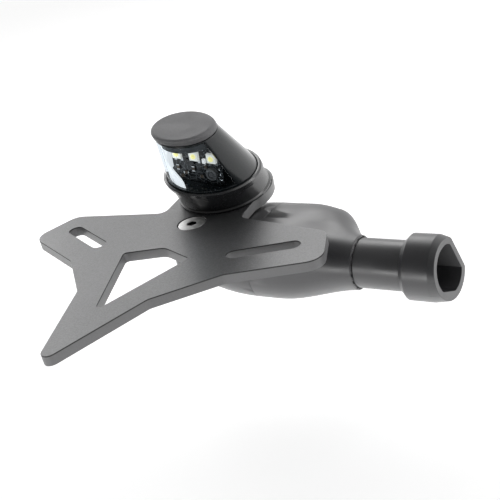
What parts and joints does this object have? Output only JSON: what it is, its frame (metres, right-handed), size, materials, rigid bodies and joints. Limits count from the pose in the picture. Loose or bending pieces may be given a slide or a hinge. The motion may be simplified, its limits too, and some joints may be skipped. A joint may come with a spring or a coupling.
{
  "type": "license plate holder",
  "caption": "Motorbike license plate holder: folded plate bracket with a number plate lamp on a rubber boot, on a cast arm with a keyed socket collar.",
  "frame": {"origin": "on the arm's axis at the mouth of the socket collar", "axes": "+X along the arm out of the collar's mouth, +Z square to the bracket's front face, +Y from the tail towards the lamp"},
  "size_m": [0.1754, 0.1463, 0.0792],
  "materials": {
    "powder_coat": "fine textured dark grey powder coat",
    "cast_coat": "satin dark grey coat on a casting",
    "stainless": "bright stainless steel",
    "boot_rubber": "smooth moulded rubber",
    "gloss_shell": "polished black moulding",
    "clear_lens": "clear moulded lens",
    "matt_cap": "matt moulded cap",
    "circuit_board": "dark circuit board",
    "led_white": "white light source package"
  },
  "bodies": {
    "root": {"plate_bracket": "powder_coat", "plate_screw": "stainless", "arm_housing": "cast_coat", "arm_foot": "cast_coat", "arm_tube": "cast_coat", "socket_collar": "cast_coat", "lamp_boot": "boot_rubber", "lamp_shell": "gloss_shell", "lamp_lens": "clear_lens", "lamp_cap": "matt_cap", "lamp_base": "gloss_shell", "led_board": "circuit_board", "led_left": "led_white", "led_centre": "led_white", "led_right": "led_white", "lamp_screw_left": "stainless", "lamp_screw_right": "stainless", "lamp_washer_left": "stainless", "lamp_washer_right": "stainless", "lead_grommet": "boot_rubber", "seam_pin_back": "stainless", "seam_pin_front": "stainless"}
  },
  "joints": []
}
